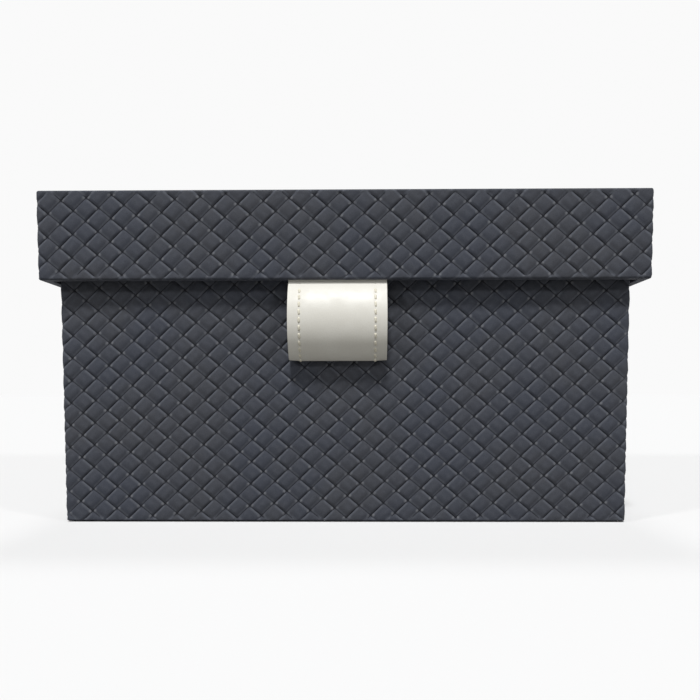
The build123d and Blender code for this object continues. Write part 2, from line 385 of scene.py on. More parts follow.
# %% Box wrap
PRESSED = 0.9 * MM
NEAR_CORNER = 3 * MM
WALL = BOARD + 2 * LEATHER
box_top_line = box_high.z - FOLD
box_foot_line = box_low.z + INNER_FOLD
board_top = board_high.z
box_above = (
    arc_stations(FOLD, FOLD, box_top_line, 0, 90)
    + arc_stations(INNER_FOLD, WALL - INNER_FOLD, box_high.z - INNER_FOLD, 90, 180, 2)
    + [(WALL, board_top - TURN_IN), (WALL - LEATHER, board_top - TURN_IN)]
    + [(WALL - LEATHER, board_top), (LEATHER + 0.6 * BOARD, board_top)]
)
box_above.insert(3, (WALL - INNER_FOLD, box_high.z))
box_below = (
    arc_stations(INNER_FOLD, INNER_FOLD, box_foot_line, 0, -90, 2)
    + [(LEATHER + TURN_IN, box_low.z), (LEATHER + TURN_IN, box_low.z + LEATHER)]
    + [(LEATHER, box_low.z + LEATHER), (LEATHER, board_top), (LEATHER + 0.4 * BOARD, board_top)]
)
box_wrap, _ = wrap_strip(
    "box_wrap_leatherette", box_size, box_foot_line, box_top_line, box_above, box_below
)
fill_at(box_wrap, board_top)
finish_wrap(box_wrap)
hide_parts("box_wrap")
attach(box_wrap, "box")

# %% [markdown]
# ## The wrap of the lid
# The lid's band is made in the same way, upside down: it folds over the top board and is turned in
# under the skirt. The top is a second sheet. Its pattern carries on from the front, and the narrow gap
# between the two is filled flat. The hem gets a slit for the loop, cut where four lines cross.

# %% Lid wrap
strap_low, strap_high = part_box("strap_face")
end_low, end_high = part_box("strap_front_end")
back_end_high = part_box("strap_back_end")[1]
STRAP = end_high.y - end_low.y
STRAP_MIDDLE = (strap_low.x + strap_high.x) / 2
SLIT_HALF = (strap_high.x - strap_low.x) / 2 + 0.2 * MM
lid_top_line = lid_high.z - FOLD
lid_hem_line = lid_low.z + FOLD
lid_board_foot = lid_board_low.z
top_board_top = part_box("lid_top_board")[1].z
slit_front = end_low.y - lid_low.y
slit_back = slit_front + 2 * STRAP
lid_above = arc_stations(FOLD, FOLD, lid_top_line, 0, 90) + [(CORNER, lid_high.z)]
lid_below = (
    arc_stations(FOLD, FOLD, lid_hem_line, 0, -90)
    + [(slit_front, lid_low.z), (slit_back, lid_low.z), (WALL - INNER_FOLD, lid_low.z)]
    + arc_stations(INNER_FOLD, WALL - INNER_FOLD, lid_low.z + INNER_FOLD, -90, -180, 2)
    + [(WALL, lid_board_foot + TURN_IN), (WALL - LEATHER, lid_board_foot + TURN_IN)]
    + [(WALL - LEATHER, lid_board_foot), (slit_front, lid_board_foot), (LEATHER, lid_board_foot)]
    + [(LEATHER, top_board_top)]
)
front_begins = sum(outline_lengths(lid_size)[:2])
middle_of_front = front_begins + lid_size[0] / 2 - CORNER
slit_ends = [middle_of_front + STRAP_MIDDLE + side * SLIT_HALF for side in (-1, 1)]
lid_wrap, lid_step = wrap_strip(
    "lid_wrap_leatherette", lid_size, lid_hem_line, lid_top_line, lid_above, lid_below, slit_ends
)
fill_at(lid_wrap, top_board_top)

# %% Top of the lid
TOP_EDGE = 2.2 * MM
over_the_fold = lid_top_line + FOLD * math.pi / 2 - FOLD
top_left = front_begins - CORNER + TOP_EDGE
top_right = front_begins - CORNER + lid_size[0] - TOP_EDGE
top_front = over_the_fold + TOP_EDGE
top_back = over_the_fold + lid_size[1] - TOP_EDGE
lid_top = plait_sheet("lid_top_sheet", lid_step, top_left, top_right, top_front, top_back)
across, up, height = points(lid_top).T
to_edge = np.min([across - top_left, top_right - across, up - top_front, top_back - up], axis=0)
pressed = fade(to_edge, PRESSED)
mark_plait(lid_top, lid_step, height, pressed)
set_points(
    lid_top,
    np.column_stack(
        [
            across - top_left + lid_low.x + TOP_EDGE,
            up - top_front + lid_low.y + TOP_EDGE,
            lid_high.z + (height - RELIEF + PEAK) * pressed,
        ]
    ),
)
deselect_all()
lid_top.select_set(True)
lid_wrap.select_set(True)
bpy.context.view_layer.objects.active = lid_wrap
bpy.ops.object.join()
fill_at(lid_wrap, lid_high.z)

# %% [markdown]
# The slit is made by deleting the small faces inside its outline, below and above the hem, and bridging
# the two openings with the operator for edge loops, which gives the slit its walls.

# %% Slit in the hem
make_active(lid_wrap)
bpy.ops.object.mode_set(mode="EDIT")
bpy.ops.mesh.select_mode(type="FACE")
bpy.ops.mesh.select_all(action="DESELECT")
mesh = bmesh.from_edit_mesh(lid_wrap.data)
for face in mesh.faces:
    centre = face.calc_center_median()
    in_hem = min(abs(centre.z - lid_low.z), abs(centre.z - lid_board_foot)) < 0.01 * MM
    across_slit = abs(centre.x - STRAP_MIDDLE) < SLIT_HALF
    in_slit = end_low.y < centre.y < back_end_high.y
    face.select = in_hem and across_slit and in_slit
bpy.ops.mesh.delete(type="FACE")
bpy.ops.mesh.select_mode(type="EDGE")
bpy.ops.mesh.select_non_manifold(extend=False)
bpy.ops.mesh.bridge_edge_loops()
bpy.ops.object.mode_set(mode="OBJECT")
finish_wrap(lid_wrap)
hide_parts("lid_wrap")
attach(lid_wrap, "lid")

# %% [markdown]
# ## The pull loop
# The loop is a strap of two thin plies. Its ends go up through the slit and are glued inside the lid,
# and below the slit it opens into a D. We draw the D once, from the hinge line of the frame, and make
# each ply as a grid laid along it, thickened by Solidify and softened by Bevel.

# %% Section of the strap
hinge = next(joint for joint in frame["joints"] if joint["name"] == "loop_swing")["pos_m"]
PLY = STRAP / 2
LOOP_REACH = 21.5 * MM
LOOP_DEPTH = 14.5 * MM
LOOP_FOLD = 3.0 * MM
HEAD = STRAP + 0.1 * MM
LOOP_REST = 0.6 * MM
SLIT_BEND = 1.6 * MM
front_radius = (LOOP_REACH**2 / (LOOP_DEPTH - 2 * HEAD) + LOOP_DEPTH) / 2
setback = front_radius - LOOP_DEPTH
fold_reach = math.sqrt((LOOP_DEPTH - 2 * LOOP_FOLD) * (2 * front_radius - LOOP_DEPTH))
room_behind = box_low.y - LOOP_REST - hinge[1]
fold_down = LOOP_REACH + fold_reach
fold_out = LOOP_FOLD - HEAD
lean = math.asin((room_behind - LOOP_FOLD) / math.hypot(fold_down, fold_out))
lean += math.atan2(fold_out, fold_down)
print("The loop leans back", round(math.degrees(lean), 1), "degrees")


def loop_point(out, up):
    """Y and Z of a point of the D, given square to its flat back and along it from the hinge line."""
    return np.array(
        [
            hinge[1] - out * math.cos(lean) - up * math.sin(lean),
            hinge[2] - out * math.sin(lean) + up * math.cos(lean),
        ]
    )


def round_bend(before, corner, after, steps=7):
    """Points of a soft bend from one point to another about a corner."""
    share = np.linspace(0, 1, steps)[:, None]
    return (1 - share) ** 2 * before + 2 * share * (1 - share) * corner + share**2 * after


def strap_path(depth):
    """The strap's line at that depth under its outer face: down the front end, round the D and up."""
    front_y = end_low.y + depth
    back_y = back_end_high.y - depth
    radius = front_radius - depth
    centre = loop_point(-HEAD - setback, -LOOP_REACH)
    fold_centre = loop_point(LOOP_FOLD - HEAD, -fold_down)
    start = math.acos((centre[0] - front_y) / radius)
    corner = np.array([front_y, centre[1] + radius * math.sin(start)])
    fold_from = -math.atan2(fold_reach, setback + LOOP_FOLD) - lean
    arc_angles = np.linspace(start - SLIT_BEND / radius, fold_from, 44)
    arc = centre + radius * np.column_stack([-np.cos(arc_angles), np.sin(arc_angles)])
    fold_angles = np.linspace(fold_from, -math.pi - lean, 14)[1:]
    fold = fold_centre + (LOOP_FOLD - depth) * np.column_stack([-np.cos(fold_angles), np.sin(fold_angles)])
    back_top = loop_point(depth - HEAD, 0)
    back_corner = np.array([back_y, back_top[1]])
    back = fold[-1] + np.linspace(0, 1, 16)[1:, None] * (back_corner - fold[-1])
    back_bend = round_bend(back[-2], back_corner, back_corner + [0, SLIT_BEND])
    ends = np.linspace(0, 1, 8)[:, None]
    front_top, front_foot = np.array([front_y, end_high.z]), corner + [0, SLIT_BEND]
    front_end = front_top + ends * (front_foot - front_top)
    back_foot = back_corner + [0, SLIT_BEND]
    back_end = back_foot + ends[1:] * ([back_y, end_high.z] - back_foot)
    front_bend = round_bend(front_end[-1], corner, arc[0])
    return np.vstack([front_end[:-1], front_bend[:-1], arc, fold, back[:-2], back_bend, back_end])


def outward_of(path):
    """Unit normals of the path that point out of the D."""
    along = np.gradient(path, axis=0)
    along /= np.linalg.norm(along, axis=1)[:, None]
    return np.column_stack([along[:, 1], -along[:, 0]])


strap_steps = np.linalg.norm(np.diff(strap_path(PLY), axis=0), axis=1)
print("Length of the strap", round(strap_steps.sum() / MM), "mm")

# %% [markdown]
# Across the strap the grid's lines stand close together under the stitches, because the thread pulls a
# fine groove into the face. The strap's sides also curl back a little, as cut leather does.

# %% The two plies
STITCH_INSET = 6.5 * MM
HALF_STRAP = (strap_high.x - strap_low.x) / 2
stitch_x = HALF_STRAP - STITCH_INSET
GROOVE = 0.16 * MM
SIDE_CURL = 0.35 * MM
half_lines = np.array([0, 4, 8, 12, 16, 19, 20.2, 20.6, 21, 21.4, 21.8, 23.5, 25, 26.3, 27.1, 27.5])
lines_across = np.concatenate([-half_lines[:0:-1], half_lines]) / half_lines[-1] * HALF_STRAP


def strap_ply(name, depth, grooved):
    """One ply of the strap, thickened about the line at that depth."""
    path = strap_path(depth)
    normal = outward_of(path)
    bpy.ops.mesh.primitive_grid_add(
        x_subdivisions=len(lines_across) - 1, y_subdivisions=len(path) - 1, size=1
    )
    ply = bpy.context.object
    ply.name = ply.data.name = name
    co = points(ply)
    column = np.rint((co[:, 0] + 0.5) * (len(lines_across) - 1)).astype(int)
    row = np.rint((co[:, 1] + 0.5) * (len(path) - 1)).astype(int)
    x = lines_across[column]
    sink = SIDE_CURL * fade(np.abs(x) - 0.72 * HALF_STRAP, 0.28 * HALF_STRAP)
    sink *= fade(lid_low.z - path[row, 1], 12 * MM)
    if grooved:
        sink = sink + GROOVE * np.exp(-(((np.abs(x) - stitch_x) / (0.45 * MM)) ** 2))
    place = path[row] - normal[row] * sink[:, None]
    set_points(ply, np.column_stack([x + STRAP_MIDDLE, place]))
    make_active(ply)
    bpy.ops.object.mode_set(mode="EDIT")
    bpy.ops.mesh.select_all(action="SELECT")
    bpy.ops.mesh.normals_make_consistent(inside=False)
    bpy.ops.object.mode_set(mode="OBJECT")
    solidify = ply.modifiers.new("Thickness", "SOLIDIFY")
    solidify.thickness = PLY
    solidify.offset = 0
    bpy.ops.object.modifier_apply(modifier=solidify.name)
    bevel = ply.modifiers.new("Soft edges", "BEVEL")
    bevel.width = 0.18 * MM
    bevel.segments = 2
    bevel.limit_method = "ANGLE"
    bevel.angle_limit = math.radians(60)
    bpy.ops.object.modifier_apply(modifier=bevel.name)
    bpy.ops.object.shade_smooth_by_angle(angle=math.radians(45))
    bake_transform(ply)
    print(name, len(ply.data.polygons), "faces")
    return ply


face_ply = strap_ply("strap_face_ply", PLY / 2, True)
back_ply = strap_ply("strap_backing_ply", STRAP - PLY / 2, False)
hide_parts("strap_face", "strap_front_end")
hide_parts("strap_backing", "strap_back_end")

# %% [markdown]
# Each stitch is a short length of thread that dives into the leather at both ends. One is modelled from
# a sphere, pulled long, and then copied down both sides of the loop, following the strap's outer line.

# %% Stitches
STITCH_PITCH = 4.4 * MM
STITCH_LENGTH = 3.3 * MM
THREAD = 1.4 * MM
SLANT = math.radians(5)


def thread_stitch():
    """One stitch about the origin: along Y, with its back at Z 0 and a twist of two strands."""
    bpy.ops.mesh.primitive_uv_sphere_add(segments=12, ring_count=10, radius=0.5)
    stitch = bpy.context.object
    co = points(stitch)[:, [0, 2, 1]] * [1, 1, -1]
    along = co[:, 1] * 2
    full = np.sqrt(np.clip(1 - along**2, 1e-6, 1))
    girth = (1 - along**6) ** 0.5 / full
    angle = np.arctan2(co[:, 2], co[:, 0])
    strands = 1 + 0.09 * np.cos(2 * angle - 9 * along)
    co[:, 0] *= girth * strands * THREAD
    co[:, 2] *= girth * strands * THREAD * 0.8
    co[:, 2] -= 0.16 * MM + 0.34 * MM * along**4
    co[:, 1] = along * STITCH_LENGTH / 2
    turned = co[:, 0] * math.cos(SLANT) + co[:, 1] * math.sin(SLANT)
    co[:, 1] = co[:, 1] * math.cos(SLANT) - co[:, 0] * math.sin(SLANT)
    co[:, 0] = turned
    set_points(stitch, co)
    return stitch


def stitch_row(name, x, node):
    """A row of stitches on the strap's outer face, from below the slit to the top of its flat back."""
    path = strap_path(0)
    normal = outward_of(path)
    reach = np.concatenate([[0], np.cumsum(np.linalg.norm(np.diff(path, axis=0), axis=1))])
    below = np.flatnonzero(path[:, 1] < hinge[2] - 2.4 * MM)
    places = np.arange(reach[below[0]] + STITCH_PITCH / 2, reach[below[-1]], STITCH_PITCH)
    pattern = thread_stitch()
    copies = []
    for place in places:
        copy = pattern.copy()
        copy.data = pattern.data.copy()
        bpy.context.collection.objects.link(copy)
        centre = [np.interp(place, reach, path[:, axis]) for axis in (0, 1)]
        out = np.array([np.interp(place, reach, normal[:, axis]) for axis in (0, 1)])
        out /= np.linalg.norm(out)
        co = points(copy)
        down = np.array([-out[1], out[0]])
        yz = centre + np.outer(co[:, 2], out) + np.outer(co[:, 1], down)
        set_points(copy, np.column_stack([co[:, 0] + x, yz]))
        copies.append(copy)
    bpy.data.objects.remove(pattern)
    deselect_all()
    for copy in copies:
        copy.select_set(True)
    bpy.context.view_layer.objects.active = copies[0]
    bpy.ops.object.join()
    row = bpy.context.object
    row.name = row.data.name = name
    make_active(row)
    bpy.ops.object.mode_set(mode="EDIT")
    bpy.ops.mesh.select_all(action="SELECT")
    bpy.ops.mesh.normals_make_consistent(inside=False)
    bpy.ops.object.mode_set(mode="OBJECT")
    bpy.ops.object.shade_smooth()
    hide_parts(node)
    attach(row, "loop")
    print(name, len(places), "stitches")
    return row


left_row = stitch_row("thread_row_left", STRAP_MIDDLE - stitch_x, "stitches_left")
right_row = stitch_row("thread_row_right", STRAP_MIDDLE + stitch_x, "stitches_right")

# %% [markdown]
# ## Finishes
# Effects that several finishes share are node groups with named sockets: a slow mottling, a fine leather
# grain, a cloth weave and the plait itself, read from the UV map. Every finish then sets its own values.


# %% Node helpers
class Graph:
    """A node tree under construction: adds nodes and joins sockets by name."""

    def __init__(self, tree):
        self.tree = tree

    def add(self, kind, inputs=(), **settings):
        """Adds a node, sets its properties, and fills its inputs with values or with other sockets."""
        node = self.tree.nodes.new(kind)
        for name, value in settings.items():
            setattr(node, name, value)
        for name, value in dict(inputs).items():
            if isinstance(value, bpy.types.NodeSocket):
                self.tree.links.new(value, node.inputs[name])
            else:
                node.inputs[name].default_value = value
        return node

    def math(self, operation, first, second=0.0):
        """A Math node's result."""
        return self.add("ShaderNodeMath", {0: first, 1: second}, operation=operation).outputs[0]

    def ramp(self, value, low, high, start=0.0, end=1.0):
        """A value carried smoothly from one range to another and held at its ends."""
        inputs = {"Value": value, "From Min": low, "From Max": high, "To Min": start, "To Max": end}
        return self.add("ShaderNodeMapRange", inputs, interpolation_type="SMOOTHSTEP").outputs[0]

    def mix(self, share, first, second):
        """A mix of two colours."""
        node = self.add("ShaderNodeMix", {"Factor": share}, data_type="RGBA")
        for socket, value in ((node.inputs[6], first), (node.inputs[7], second)):
            if isinstance(value, bpy.types.NodeSocket):
                self.tree.links.new(value, socket)
            else:
                socket.default_value = (*value, 1)
        return node.outputs[2]


def new_group(name, inputs, outputs):
    """A shader node group with those named sockets, and the graph to build it in."""
    tree = bpy.data.node_groups.new(name, "ShaderNodeTree")
    for socket, kind in inputs:
        tree.interface.new_socket(socket, in_out="INPUT", socket_type=kind)
    for socket, kind in outputs:
        tree.interface.new_socket(socket, in_out="OUTPUT", socket_type=kind)
    graph = Graph(tree)
    return graph, graph.add("NodeGroupInput").outputs, graph.add("NodeGroupOutput").inputs


FLOAT, VECTOR = "NodeSocketFloat", "NodeSocketVector"

# %% Shared effects
graph, given, out = new_group(
    "Slow mottle", [("Place", VECTOR), ("Patches per metre", FLOAT)], [("Mask", FLOAT)]
)
patches = graph.add(
    "ShaderNodeTexNoise",
    {"Vector": given["Place"], "Scale": given["Patches per metre"], "Detail": 3.0, "Roughness": 0.55},
)
graph.tree.links.new(graph.ramp(patches.outputs["Fac"], 0.35, 0.65), out["Mask"])

graph, given, out = new_group(
    "Leather grain", [("Place", VECTOR), ("Pebbles per metre", FLOAT)], [("Height", FLOAT), ("Pores", FLOAT)]
)
pebbles = graph.add(
    "ShaderNodeTexVoronoi",
    {"Vector": given["Place"], "Scale": given["Pebbles per metre"], "Smoothness": 0.6},
    feature="SMOOTH_F1",
)
creases = graph.add(
    "ShaderNodeTexNoise",
    {"Vector": given["Place"], "Scale": graph.math("MULTIPLY", given["Pebbles per metre"], 0.35)},
)
domes = graph.math("SUBTRACT", 1.0, pebbles.outputs["Distance"])
height = graph.math("ADD", domes, graph.math("MULTIPLY", creases.outputs["Fac"], 0.8))
graph.tree.links.new(height, out["Height"])
graph.tree.links.new(graph.ramp(pebbles.outputs["Distance"], 0.45, 0.8), out["Pores"])

graph, given, out = new_group(
    "Plait cells",
    [("Cells", VECTOR)],
    [("Along", FLOAT), ("Side", FLOAT), ("Height", FLOAT), ("Tips", FLOAT), ("Strip lines", FLOAT)],
)
split = graph.add("ShaderNodeSeparateXYZ", {"Vector": given["Cells"]})
whole = [graph.math("FLOOR", split.outputs[axis]) for axis in (0, 1)]
inside = [graph.math("SUBTRACT", graph.math("FRACT", split.outputs[axis]), 0.5) for axis in (0, 1)]
parity = graph.math("FLOORED_MODULO", graph.math("ADD", *whole), 2.0)
swapped = graph.math("SUBTRACT", inside[1], inside[0])
along = graph.math("ADD", inside[0], graph.math("MULTIPLY", swapped, parity))
across = graph.math("SUBTRACT", inside[1], graph.math("MULTIPLY", swapped, parity))
dive = graph.math("POWER", graph.math("ABSOLUTE", graph.math("MULTIPLY", along, 2.0)), 3.0)
side = graph.ramp(graph.math("ABSOLUTE", across), 0.3, 0.5)
height = graph.math("MULTIPLY", graph.math("SUBTRACT", 1.0, dive), graph.math("SUBTRACT", 1.0, side))
strip_place = graph.add(
    "ShaderNodeCombineXYZ",
    {
        "X": along,
        "Y": graph.math("MULTIPLY", across, 9.0),
        "Z": graph.math("ADD", graph.math("MULTIPLY", whole[0], 3.7), graph.math("MULTIPLY", whole[1], 1.9)),
    },
)
lines = graph.add("ShaderNodeTexNoise", {"Vector": strip_place.outputs[0], "Scale": 1.6, "Detail": 3.0})
for name, value in (("Along", along), ("Side", graph.math("ABSOLUTE", across)), ("Height", height)):
    graph.tree.links.new(value, out[name])
graph.tree.links.new(lines.outputs["Fac"], out["Strip lines"])
# The tips mask places a painted highlight in the leatherette.
to_tip = graph.math("ABSOLUTE", graph.math("ADD", *inside))
tips = graph.math("SUBTRACT", graph.ramp(to_tip, 0.6, 0.8), graph.ramp(to_tip, 0.82, 0.94))
off_line = graph.math("ABSOLUTE", graph.math("SUBTRACT", *inside))
graph.tree.links.new(graph.math("MULTIPLY", tips, graph.ramp(off_line, 0.03, 0.2, 1.0, 0.0)), out["Tips"])

graph, given, out = new_group(
    "Cloth weave",
    [("Place", VECTOR), ("Facing", VECTOR), ("Threads per metre", FLOAT)],
    [("Height", FLOAT), ("Slub", FLOAT)],
)
place = graph.add("ShaderNodeSeparateXYZ", {"Vector": given["Place"]}).outputs
facing = graph.add("ShaderNodeSeparateXYZ", {"Vector": given["Facing"]}).outputs
is_x, is_z = (graph.math("GREATER_THAN", graph.math("ABSOLUTE", facing[axis]), 0.7) for axis in ("X", "Z"))
side_way, level_way = (graph.math("SUBTRACT", place["Y"], place[axis]) for axis in ("X", "Z"))
width = graph.math("ADD", place["X"], graph.math("MULTIPLY", side_way, is_x))
rise = graph.math("ADD", place["Z"], graph.math("MULTIPLY", level_way, is_z))
turns = [
    graph.math("MULTIPLY", graph.math("MULTIPLY", value, given["Threads per metre"]), math.pi)
    for value in (width, rise)
]
warp = graph.math("MULTIPLY", graph.math("SINE", turns[0]), graph.math("COSINE", turns[1]))
weft = graph.math("MULTIPLY", graph.math("COSINE", turns[0]), graph.math("SINE", turns[1]))
over = graph.math("MAXIMUM", graph.math("ABSOLUTE", warp), graph.math("ABSOLUTE", weft))
graph.tree.links.new(over, out["Height"])
slub = graph.add("ShaderNodeTexNoise", {"Vector": given["Place"], "Scale": 900.0, "Detail": 2.0})
graph.tree.links.new(slub.outputs["Fac"], out["Slub"])

graph, given, out = new_group(
    "Paper fibres", [("Place", VECTOR), ("Fibres per metre", FLOAT)], [("Height", FLOAT), ("Flecks", FLOAT)]
)
fibre_place = graph.add("ShaderNodeMapping", {"Vector": given["Place"], "Scale": (1.0, 0.25, 0.6)})
fibres = graph.add(
    "ShaderNodeTexNoise",
    {"Vector": fibre_place.outputs[0], "Scale": given["Fibres per metre"], "Detail": 5.0, "Distortion": 0.8},
)
graph.tree.links.new(fibres.outputs["Fac"], out["Height"])
graph.tree.links.new(graph.ramp(fibres.outputs["Fac"], 0.58, 0.68), out["Flecks"])
print("Groups:", [group.name for group in bpy.data.node_groups])


# %% A blank finish
def new_finish(name, colour, roughness):
    """A material, the graph to build it in, its Principled BSDF, and its texture coordinates."""
    material = bpy.data.materials.new(name)
    material.use_nodes = True
    material.diffuse_color = (*colour, 1)
    graph = Graph(material.node_tree)
    shader = material.node_tree.nodes["Principled BSDF"]
    shader.inputs["Base Color"].default_value = (*colour, 1)
    shader.inputs["Roughness"].default_value = roughness
    where = graph.add("ShaderNodeTexCoord").outputs
    return material, graph, shader, where


def use_group(graph, name, **inputs):
    """The outputs of a shared effect with those inputs; underscores stand for spaces."""
    node = graph.add("ShaderNodeGroup", node_tree=bpy.data.node_groups[name])
    for key, value in inputs.items():
        socket = node.inputs[key.replace("_", " ")]
        if isinstance(value, bpy.types.NodeSocket):
            graph.tree.links.new(value, socket)
        else:
            socket.default_value = value
    return node.outputs


def set_bump(graph, shader, height, depth):
    """Feeds a height into the shader's normal; the depth is the real one in metres."""
    bump = graph.add("ShaderNodeBump", {"Height": height, "Distance": depth})
    graph.tree.links.new(bump.outputs["Normal"], shader.inputs["Normal"])


# %% [markdown]
# The leatherette is a charcoal blue vinyl, embossed in a heated press. Its grooves are darkened with
# painted shade, its crowns are rubbed a little lighter, and the ends and tips of the strips carry painted
# highlights. Each strip has faint lines along it, and the whole sheet has a very fine grain.

# %% Plaited leatherette
CHARCOAL = (0.040, 0.045, 0.060)
CHARCOAL_WARM = (0.044, 0.047, 0.057)
# Dark colour for the pores of the grain, and painted shade for the grooves of the emboss.
PORE_DARK_AND_GROOVE_SHADE = (0.006, 0.0065, 0.009)
# Colour of the rubbed crowns, and also of the painted highlight on the ends of the strips.
RUBBED_AND_END_HIGHLIGHT = (0.080, 0.087, 0.106)
# Painted highlight on the left and right tips of each cell.
TIP_HIGHLIGHT = (0.165, 0.172, 0.19)
leatherette, graph, shader, where = new_finish("Plaited leatherette", CHARCOAL, 0.34)
shader.inputs["Specular IOR Level"].default_value = 0.3
raised = graph.add("ShaderNodeAttribute", attribute_name="raised").outputs["Fac"]
flat = graph.add("ShaderNodeAttribute", attribute_name="flat").outputs["Fac"]
cells = graph.add("ShaderNodeUVMap", uv_map="plait").outputs[0]
plait = use_group(graph, "Plait cells", Cells=cells)
mottle = use_group(graph, "Slow mottle", Place=where["Object"], Patches_per_metre=28.0)["Mask"]
# Random patches: they set the wear of the crowns and the roughness, and how strong the painted tip
# highlights are.
wear_and_glint_patches = use_group(graph, "Slow mottle", Place=where["Object"], Patches_per_metre=240.0)["Mask"]
grain = use_group(graph, "Leather grain", Place=where["Object"], Pebbles_per_metre=2600.0)
colour = graph.mix(mottle, CHARCOAL, CHARCOAL_WARM)
crown = graph.math("MULTIPLY", graph.ramp(raised, 0.7, 1.0), graph.math("MULTIPLY", wear_and_glint_patches, 0.4))
# Painted highlight: the ends of the strips, where they dive under, are made much lighter in colour.
ends = graph.ramp(graph.math("ABSOLUTE", plait["Along"]), 0.3, 0.44)
end_highlight = graph.math("MULTIPLY", ends, graph.math("SUBTRACT", 1.0, graph.ramp(plait["Side"], 0.3, 0.42)))
colour = graph.mix(graph.math("MULTIPLY", end_highlight, 0.9), graph.mix(crown, colour, RUBBED_AND_END_HIGHLIGHT), RUBBED_AND_END_HIGHLIGHT)
# Painted highlight: light spots at the tips of the cells, stronger in random patches and weaker on the flat
# folds.
tips = graph.math("MULTIPLY", plait["Tips"], graph.ramp(wear_and_glint_patches, 0.0, 1.0, 0.2, 0.9))
colour = graph.mix(graph.math("MULTIPLY", tips, graph.ramp(flat, 0.0, 0.8, 1.0, 0.2)), colour, TIP_HIGHLIGHT)
colour = graph.mix(graph.math("MULTIPLY", grain["Pores"], 0.25), colour, PORE_DARK_AND_GROOVE_SHADE)
# Painted shade: the grooves of the emboss, where the strips dive under, are darkened in colour.
colour = graph.mix(graph.ramp(raised, 0.0, 0.22, 0.9, 0.0), colour, PORE_DARK_AND_GROOVE_SHADE)
graph.tree.links.new(colour, shader.inputs["Base Color"])
roughness = graph.math("ADD", graph.ramp(raised, 0.0, 0.2, 1.0, 0.75), graph.math("MULTIPLY", wear_and_glint_patches, 0.08))
graph.tree.links.new(roughness, shader.inputs["Roughness"])
fine = graph.math("MULTIPLY", grain["Height"], 0.12)
lines = graph.math("MULTIPLY", plait["Strip lines"], 0.8)
pressed_plait = graph.math("MULTIPLY", plait["Height"], flat)
set_bump(graph, shader, graph.math("ADD", graph.math("ADD", fine, lines), pressed_plait), 0.16 * MM)
for piece in (box_wrap, lid_wrap):
    piece.data.materials.clear()
    piece.data.materials.append(leatherette)
print("Leatherette on", box_wrap.name, "and", lid_wrap.name)

# %% [markdown]
# The loop is smooth ivory leather, nearly white, with a soft grain and creamier cut edges. The thread is
# waxed linen in the same ivory, and its two strands show as slanting ridges.

# %% Ivory leather and thread
IVORY = (0.72, 0.705, 0.65)
IVORY_SHADE = (0.64, 0.62, 0.56)
CUT_EDGE = (0.56, 0.53, 0.46)
ivory, graph, shader, where = new_finish("Ivory leather", IVORY, 0.5)
mottle = use_group(graph, "Slow mottle", Place=where["Object"], Patches_per_metre=90.0)["Mask"]
grain = use_group(graph, "Leather grain", Place=where["Object"], Pebbles_per_metre=1700.0)
side = graph.add("ShaderNodeSeparateXYZ", {"Vector": where["Normal"]}).outputs["X"]
colour = graph.mix(graph.math("MULTIPLY", mottle, 0.35), IVORY, IVORY_SHADE)
colour = graph.mix(graph.math("MULTIPLY", grain["Pores"], 0.3), colour, IVORY_SHADE)
colour = graph.mix(graph.ramp(graph.math("ABSOLUTE", side), 0.5, 0.95), colour, CUT_EDGE)
graph.tree.links.new(colour, shader.inputs["Base Color"])
graph.tree.links.new(graph.ramp(mottle, 0.0, 1.0, 0.46, 0.56), shader.inputs["Roughness"])
set_bump(graph, shader, grain["Height"], 0.03 * MM)

LINEN = (0.84, 0.81, 0.70)
LINEN_DEEP = (0.58, 0.54, 0.42)
linen, graph, shader, where = new_finish("Waxed linen thread", LINEN, 0.55)
thread_slant = (0.0, math.radians(35), 0.0)
turned = graph.add("ShaderNodeMapping", {"Vector": where["Object"], "Rotation": thread_slant})
strands = graph.add(
    "ShaderNodeTexWave",
    {"Vector": turned.outputs[0], "Scale": 500.0, "Distortion": 1.0, "Detail": 2.0},
    bands_direction="Z",
)
graph.tree.links.new(graph.mix(strands.outputs["Fac"], LINEN_DEEP, LINEN), shader.inputs["Base Color"])
set_bump(graph, shader, strands.outputs["Fac"], 0.06 * MM)
for piece, finish in ((face_ply, ivory), (back_ply, ivory), (left_row, linen), (right_row, linen)):
    piece.data.materials.clear()
    piece.data.materials.append(finish)
print("Ivory leather on the plies, linen on", left_row.name, "and", right_row.name)

# %% [markdown]
# The pieces that keep their shape from the frame are plain sheets: greyboard, paper tape, base paper and
# the cloth lining. The lining is a plain weave in charcoal, the boards are grey pulp with flecks, the
# tape is brown kraft paper, and the sheet under the base is black paper.

# %% Board, tape, paper and cloth
PULP, PULP_FLECK = (0.33, 0.32, 0.30), (0.20, 0.195, 0.185)
KRAFT, KRAFT_FLECK = (0.42, 0.28, 0.16), (0.30, 0.19, 0.10)
BLACK_PAPER, BLACK_FLECK = (0.022, 0.022, 0.024), (0.045, 0.045, 0.048)
CLOTH, CLOTH_DEEP = (0.075, 0.076, 0.082), (0.026, 0.027, 0.030)


def fibrous(name, colour, fleck, fibres_per_metre, roughness):
    """A pulp or paper finish with long fibres and flecks."""
    material, graph, shader, where = new_finish(name, colour, roughness)
    fibres = use_group(graph, "Paper fibres", Place=where["Object"], Fibres_per_metre=fibres_per_metre)
    mottle = use_group(graph, "Slow mottle", Place=where["Object"], Patches_per_metre=60.0)["Mask"]
    paled = graph.mix(graph.math("MULTIPLY", mottle, 0.3), colour, fleck)
    graph.tree.links.new(graph.mix(fibres["Flecks"], paled, fleck), shader.inputs["Base Color"])
    set_bump(graph, shader, fibres["Height"], 0.05 * MM)
    return material


greyboard = fibrous("Greyboard", PULP, PULP_FLECK, 900.0, 0.85)
kraft = fibrous("Kraft tape", KRAFT, KRAFT_FLECK, 1400.0, 0.7)
black_paper = fibrous("Black base paper", BLACK_PAPER, BLACK_FLECK, 1100.0, 0.75)

